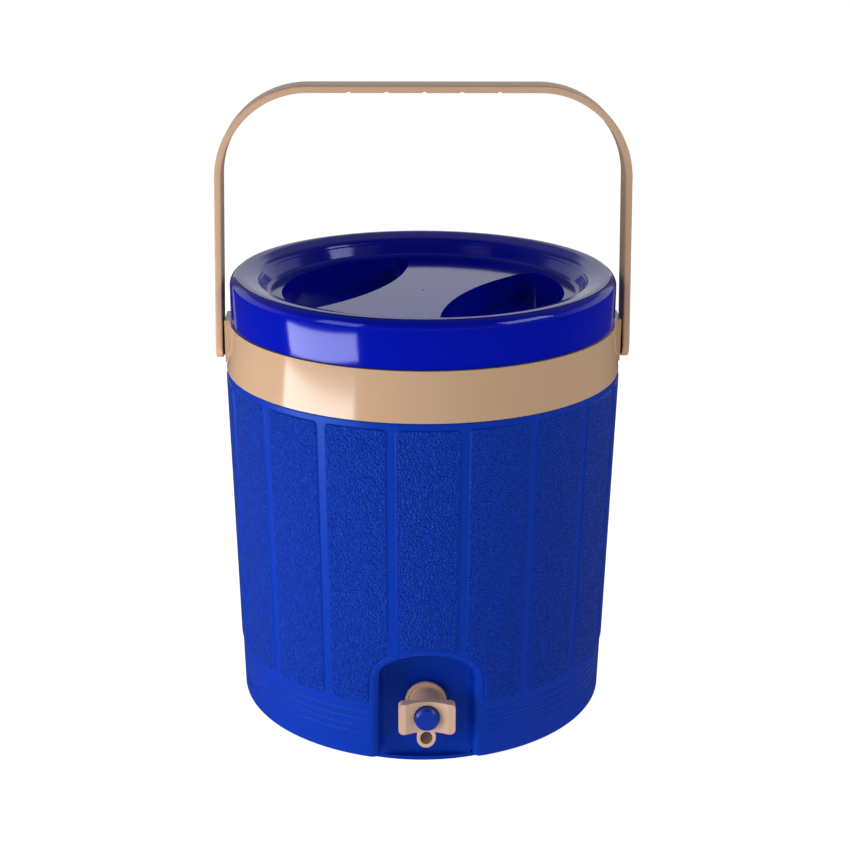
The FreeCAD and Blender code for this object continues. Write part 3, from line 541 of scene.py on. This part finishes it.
TAP_Z, SPOUT_Y, SPOUT_R = 48.0, -131.0, 6.8
MOUTH_R, CHAMBER_R, BORE_R = 9.35, 8.95, 4.4
SPRING_SEAT, SPRING_CROWN, BUTTON_TRAVEL = 126.5, 144.5, 4.0


def spin_tap(name, outline, segments=96):
    """Solid of revolution about the tap's axis from a closed (radius, distance to the front) outline."""
    obj = revolve(name, outline, segments)
    for vertex in obj.data.vertices:
        x, y, z = vertex.co
        vertex.co = (x, -z, TAP_Z * MM + y)
    outward(obj)
    return obj


def rod(name, radius, start, end, segments=64):
    """Cylinder between two points."""
    obj = revolve(name, [(0.0, 0.0), (radius, 0.0), (radius, 1.0), (0.0, 1.0)], segments, closed=False)
    a, b = Vector(start) * MM, Vector(end) * MM
    turn = (b - a).to_track_quat("Z", "Y")
    for vertex in obj.data.vertices:
        local = Vector((vertex.co.x, vertex.co.y, 0.0))
        vertex.co = a + turn @ local + (b - a) * (vertex.co.z / MM)
    outward(obj)
    return obj


def build_barrel():
    """Flange, barrel and threaded shank in one turned shape, with the button's chamber."""
    outline = rounded([
        (7.8, 92.5), (7.8, 115.0), (15.0, 115.0, 0.6), (15.0, 118.0, 1.0), (12.9, 118.0, 0.5),
        (12.5, 117.3, 0.3), (11.2, 117.6, 0.6), (10.8, 119.5, 2.0), (10.8, 141.5, 0.7),
        (MOUTH_R, 141.5, 0.3), (MOUTH_R, 141.0), (CHAMBER_R, 141.0), (CHAMBER_R, 126.5), (4.2, 126.5),
        (4.2, 124.0), (5.8, 124.0), (5.8, 92.5)], steps=5)
    return spin_tap("tap_barrel", outline)


def build_plate():
    """Finger plate: a shallow trough between two flat bands, with rounded corners."""
    half, front, back, height, trough = 20.1, 145.2, 138.0, 11.8, 28.9
    centre = -141.0 - trough
    edge = math.degrees(math.asin((-front - centre) / trough))
    outline = arc(0.0, centre, trough, 180.0 - edge, edge, 24)
    outline += [(half, -front), (half, -back), (-half, -back), (-half, -front)]
    plate = prism("tap_plate", outline, TAP_Z - height, TAP_Z + height)
    corners = [(half, -height, 3.5), (half, height, 3.5), (-half, height, 3.5), (-half, -height, 3.5)]
    frame_outline = rounded([(0.0, -height)] + corners + [(0.0, -height)])[:-1]
    keep = prism("plate_limits", frame_outline, -150.0, -130.0)
    for vertex in keep.data.vertices:
        x, y, z = vertex.co
        vertex.co = (x, z, y + TAP_Z * MM)
    outward(keep)
    combine(plate, keep, "INTERSECT")
    combine(plate, rod("plate_hole", MOUTH_R, (0, -150, TAP_Z), (0, -130, TAP_Z)), "DIFFERENCE")
    plate.data.polygons.foreach_set("use_smooth", [True] * len(plate.data.polygons))
    return soften(plate, 0.8, angle=25.0, segments=3)


def build_spout():
    """Upright tube under the barrel whose end is cut at a slope that faces forward."""
    slope = math.radians(30.0)
    out = Vector((0.0, -math.cos(slope), -math.sin(slope)))
    along = Vector((0.0, math.sin(slope), -math.cos(slope)))
    tip = Vector((0.0, SPOUT_Y + SPOUT_R, 13.7))
    spout = rod("tap_spout", SPOUT_R, (0, SPOUT_Y, 8.0), (0, SPOUT_Y, 41.0))
    corners = [tip + along * u + Vector((v, 0, 0)) + out * w
               for w in (0.0, 40.0) for u, v in ((-50, -20), (20, -20), (20, 20), (-50, 20))]
    knife = make_object("knife", [tuple(c) for c in corners],
                        [[0, 1, 2, 3], [7, 6, 5, 4], [0, 4, 5, 1], [1, 5, 6, 2], [2, 6, 7, 3], [3, 7, 4, 0]])
    outward(knife)
    combine(spout, knife, "DIFFERENCE")
    combine(spout, rod("bore", BORE_R, (0, SPOUT_Y, 5.0), (0, SPOUT_Y, 45.0)), "DIFFERENCE")
    combine(spout, rod("chamber", CHAMBER_R, (0, -145, TAP_Z), (0, -120, TAP_Z)), "DIFFERENCE")
    # Faces of the bore's inner wall take the second material, a dark brown that is painted shade standing in
    # for the shadow deep in the bore.
    for face in spout.data.polygons:
        face.use_smooth = True
        reach = [spout.data.vertices[v].co - Vector((0.0, SPOUT_Y * MM, 0.0)) for v in face.vertices]
        face.material_index = int(all(math.hypot(p.x, p.y) < (BORE_R + 0.05) * MM for p in reach))
    return soften(spout, 0.45, angle=40.0, segments=3)


def build_spring():
    """Coil from the chamber's floor to the inside of the button's crown."""
    coil, wire, turns = 5.0, 0.45, 6
    start, end = SPRING_SEAT + wire + 0.1, SPRING_CROWN - wire - 0.1
    steps, sides = 36 * turns, 10
    vertices = []
    for n in range(steps + 1):
        turn = 2 * math.pi * turns * n / steps
        along = start + (end - start) * n / steps
        for k in range(sides):
            a = 2 * math.pi * k / sides
            radius = coil + wire * math.cos(a)
            y = -along - wire * math.sin(a)
            vertices.append((radius * math.cos(turn), y, TAP_Z + radius * math.sin(turn)))
    faces = []
    for n in range(steps):
        low, high = n * sides, (n + 1) * sides
        faces += [[low + k, low + (k + 1) % sides, high + (k + 1) % sides, high + k] for k in range(sides)]
    faces += [list(range(sides))[::-1], list(range(steps * sides, (steps + 1) * sides))]
    spring = make_object("spring_coil", vertices, faces)
    outward(spring)
    return spring


# ------------------------------------------------------------ materials

def principled(name, color, roughness, metallic=0.0):
    material = bpy.data.materials.new(name)
    material.use_nodes = True
    shader = material.node_tree.nodes["Principled BSDF"]
    shader.inputs["Base Color"].default_value = (*color, 1.0)
    shader.inputs["Roughness"].default_value = roughness
    shader.inputs["Metallic"].default_value = metallic
    return material, shader


def add_bump(material, shader, scale, strength, distance, detail=2.0):
    """Fine grain of a moulded surface."""
    tree = material.node_tree
    place = tree.nodes.new("ShaderNodeTexCoord")
    grain = tree.nodes.new("ShaderNodeTexNoise")
    grain.inputs["Detail"].default_value = detail
    grain.inputs["Scale"].default_value = scale
    tree.links.new(place.outputs["Object"], grain.inputs["Vector"])
    bump = tree.nodes.new("ShaderNodeBump")
    bump.inputs["Strength"].default_value = strength
    bump.inputs["Distance"].default_value = distance
    tree.links.new(grain.outputs["Fac"], bump.inputs["Height"])
    tree.links.new(bump.outputs["Normal"], shader.inputs["Normal"])


def tint(shader, color, level=0.5):
    """Colour of the mirror reflection seen straight on; glancing reflections stay white."""
    shader.inputs["Specular Tint"].default_value = (*color, 1.0)
    shader.inputs["Specular IOR Level"].default_value = level


BLUE = (0.0005, 0.026, 0.335)
BLUE_GLOSS = (0.6, 0.65, 1.0)
BLUE_SATIN = (0.22, 0.52, 1.0)
body_blue, shader = principled("body_blue", BLUE, 0.34)
tint(shader, BLUE_SATIN, 0.25)
add_bump(body_blue, shader, 180.0, 0.12, 0.0006)
pebble_blue, shader = principled("pebble_blue", BLUE, 0.38)
tint(shader, BLUE_SATIN, 0.3)
add_bump(pebble_blue, shader, 700.0, 1.0, 0.003, detail=0.6)
lid_blue, shader = principled("lid_blue", (0.0003, 0.005, 0.34), 0.09)
tint(shader, BLUE_GLOSS, 0.45)
add_bump(lid_blue, shader, 30.0, 0.02, 0.002)
button_blue, shader = principled("button_blue", (0.0005, 0.022, 0.31), 0.3)
tint(shader, BLUE_GLOSS)
collar_tan, shader = principled("collar_tan", (0.50, 0.325, 0.205), 0.12)
add_bump(collar_tan, shader, 40.0, 0.012, 0.002)
handle_tan, shader = principled("handle_tan", (0.54, 0.35, 0.235), 0.34)
tint(shader, (1.0, 0.95, 0.9), 0.2)
add_bump(handle_tan, shader, 900.0, 0.05, 0.0003)
tap_tan, shader = principled("tap_tan", (0.58, 0.375, 0.265), 0.34)
# Painted shade: dark brown for the inside of the spout's bore, standing in for the shadow deep in it.
bore_painted_shade, _ = principled("bore_painted_shade", (0.13, 0.07, 0.045), 0.5)
liner_white, _ = principled("liner_white", (0.80, 0.80, 0.78), 0.28)
pin_black, _ = principled("pin_black", (0.012, 0.012, 0.012), 0.45)
seal_black, _ = principled("seal_black", (0.02, 0.02, 0.02), 0.7)
foam_cream, shader = principled("foam_cream", (0.78, 0.70, 0.46), 0.85)
add_bump(foam_cream, shader, 400.0, 0.4, 0.001)
steel, _ = principled("steel", (0.55, 0.55, 0.56), 0.3, metallic=1.0)


def paint(obj, *materials):
    """Give a mesh its materials and keep each face's material index."""
    marks = [face.material_index for face in obj.data.polygons] if len(materials) > 1 else None
    obj.data.materials.clear()
    for material in materials:
        obj.data.materials.append(material)
    if marks:
        obj.data.polygons.foreach_set("material_index", marks)


CAD_LOOKS = {
    "outer_shell": body_blue, "base_plate": body_blue, "base_screws": steel, "collar_ring": collar_tan,
    "inner_liner": liner_white, "foam_insulation": foam_cream, "lid_cover": lid_blue, "lid_base": lid_blue,
    "lid_gasket": seal_black, "lid_foam": foam_cream, "handle": handle_tan, "handle_pin_right": pin_black,
    "handle_pin_left": pin_black, "tap_body": tap_tan, "tap_outer_washer": seal_black,
    "tap_inner_washer": seal_black, "tap_lock_nut": liner_white, "push_button": button_blue,
    "button_o_ring": seal_black, "valve_seal": seal_black, "seal_retainer": liner_white,
    "valve_stem": liner_white, "return_spring": steel,
}
for name, material in CAD_LOOKS.items():
    paint(nodes[name], material)
for name, width in (("collar_ring", 0.9), ("push_button", 0.3), ("base_plate", 0.6),
                    ("lid_base", 0.8), ("inner_liner", 0.8)):
    soften(nodes[name], width, angle=30.0, segments=3)

# ------------------------------------------------------------ pieces

skin = build_skin()
paint(skin, body_blue, pebble_blue)
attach(skin, "jug")
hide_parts("outer_shell")

lid = build_lid()
paint(lid, lid_blue)
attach(lid, "lid")
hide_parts("lid_cover")

barrel, spout = build_barrel(), build_spout()
for piece in (barrel, build_plate(), spout):
    # The second material paints shade into the spout's bore.
    paint(piece, tap_tan, bore_painted_shade)
    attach(piece, "jug")
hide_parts("tap_body")

spring = build_spring()
paint(spring, steel)
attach(spring, "jug")
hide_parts("return_spring")
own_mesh(spring)

strap = build_handle()
paint(strap, handle_tan)
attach(strap, "bail")
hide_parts("handle")

# ------------------------------------------------------------ stage, light, camera

FLOOR_HALF, FLOOR_Z = 14000.0, -0.2
floor = make_object("floor", [(-FLOOR_HALF, -FLOOR_HALF, FLOOR_Z), (FLOOR_HALF, -FLOOR_HALF, FLOOR_Z),
                              (FLOOR_HALF, FLOOR_HALF, FLOOR_Z), (-FLOOR_HALF, FLOOR_HALF, FLOOR_Z)],
                    [[0, 1, 2, 3]], smooth=False)
floor_white, shader = principled("floor_white", (0.90, 0.90, 0.90), 0.9)
tint(shader, (1.0, 1.0, 1.0), 0.0)
shader.inputs["Emission Color"].default_value = (1.0, 1.0, 1.0, 1.0)
shader.inputs["Emission Strength"].default_value = 0.85
paint(floor, floor_white)
floor.visible_glossy = False

# white cyclorama round the floor: it is a background only and lights nothing
around = arc(0.0, 0.0, FLOOR_HALF * 0.95, 0.0, 357.0, 119)
count = len(around)
screen = make_object("screen", [(x, y, z) for z in (FLOOR_Z, FLOOR_HALF) for x, y in around],
                     [[i, (i + 1) % count, count + (i + 1) % count, count + i] for i in range(count)])
screen_white, shader = principled("screen_white", (0.0, 0.0, 0.0), 1.0)
tint(shader, (1.0, 1.0, 1.0), 0.0)
shader.inputs["Emission Color"].default_value = (1.0, 1.0, 1.0, 1.0)
shader.inputs["Emission Strength"].default_value = 1.0
paint(screen, screen_white)
for ray in ("diffuse", "glossy", "transmission", "volume_scatter", "shadow"):
    setattr(screen, "visible_" + ray, False)

# pale backdrop that is bright low down behind the jug and dim above and in front
world = bpy.data.worlds.new("studio")
bpy.context.scene.world = world
world.use_nodes = True
tree = world.node_tree
back = tree.nodes["Background"]
place = tree.nodes.new("ShaderNodeTexCoord")
split = tree.nodes.new("ShaderNodeSeparateXYZ")
tree.links.new(place.outputs["Generated"], split.inputs["Vector"])


def direction_ramp(axis, low, high, low_value, high_value):
    ramp = tree.nodes.new("ShaderNodeMapRange")
    ramp.inputs["From Min"].default_value = low
    ramp.inputs["From Max"].default_value = high
    ramp.inputs["To Min"].default_value = low_value
    ramp.inputs["To Max"].default_value = high_value
    tree.links.new(split.outputs[axis], ramp.inputs["Value"])
    return ramp.outputs["Result"]


def times(first, second):
    product = tree.nodes.new("ShaderNodeMath")
    product.operation = "MULTIPLY"
    tree.links.new(first, product.inputs[0])
    tree.links.new(second, product.inputs[1])
    return product.outputs[0]


above = times(direction_ramp("Z", 0.37, 0.42, 0.82, 0.2), direction_ramp("Z", -0.03, 0.03, 0.06, 1.0))
tree.links.new(times(above, direction_ramp("Y", -0.2, 0.3, 0.25, 1.0)), back.inputs["Strength"])
back.inputs["Color"].default_value = (1.0, 1.0, 1.0, 1.0)


def softbox(name, azimuth, distance, low, high, width, radiance):
    """Upright panel light facing the jug; azimuth is degrees to the right of the front."""
    data = bpy.data.lights.new(name, "AREA")
    data.shape = "RECTANGLE"
    data.size, data.size_y = width, high - low
    data.energy = radiance * math.pi * width * (high - low)
    obj = bpy.data.objects.new(name, data)
    bpy.context.scene.collection.objects.link(obj)
    a = math.radians(azimuth)
    obj.location = (distance * math.sin(a), -distance * math.cos(a), (low + high) / 2)
    aim = Vector((-obj.location.x, -obj.location.y, 0.0))
    obj.rotation_euler = aim.to_track_quat("-Z", "Y").to_euler()
    obj.visible_camera = False
    return obj


softbox("key_left", -57.0, 0.62, 0.06, 0.20, 0.48, 9.5)
softbox("key_left_high", -50.0, 2.2, 0.6, 1.9, 1.0, 3.4)
softbox("fill_right", 64.0, 2.4, 1.25, 2.35, 1.45, 5.0)

camera = bpy.data.cameras.new("camera")
camera.lens = 69.68
camera.sensor_width = 36.0
view = bpy.data.objects.new("camera", camera)
bpy.context.scene.collection.objects.link(view)
view.location = (-0.0330, -1.1752, 0.6226)
view.rotation_mode = "XYZ"
view.rotation_euler = (math.radians(71.02), 0.0, math.radians(-1.7))
bpy.context.view_layer.update()
view.rotation_mode = "QUATERNION"
view.rotation_quaternion = view.rotation_euler.to_quaternion() @ Quaternion((0, 0, 1), math.radians(0.27))
bpy.context.scene.camera = view
bpy.context.scene.view_settings.view_transform = "Standard"
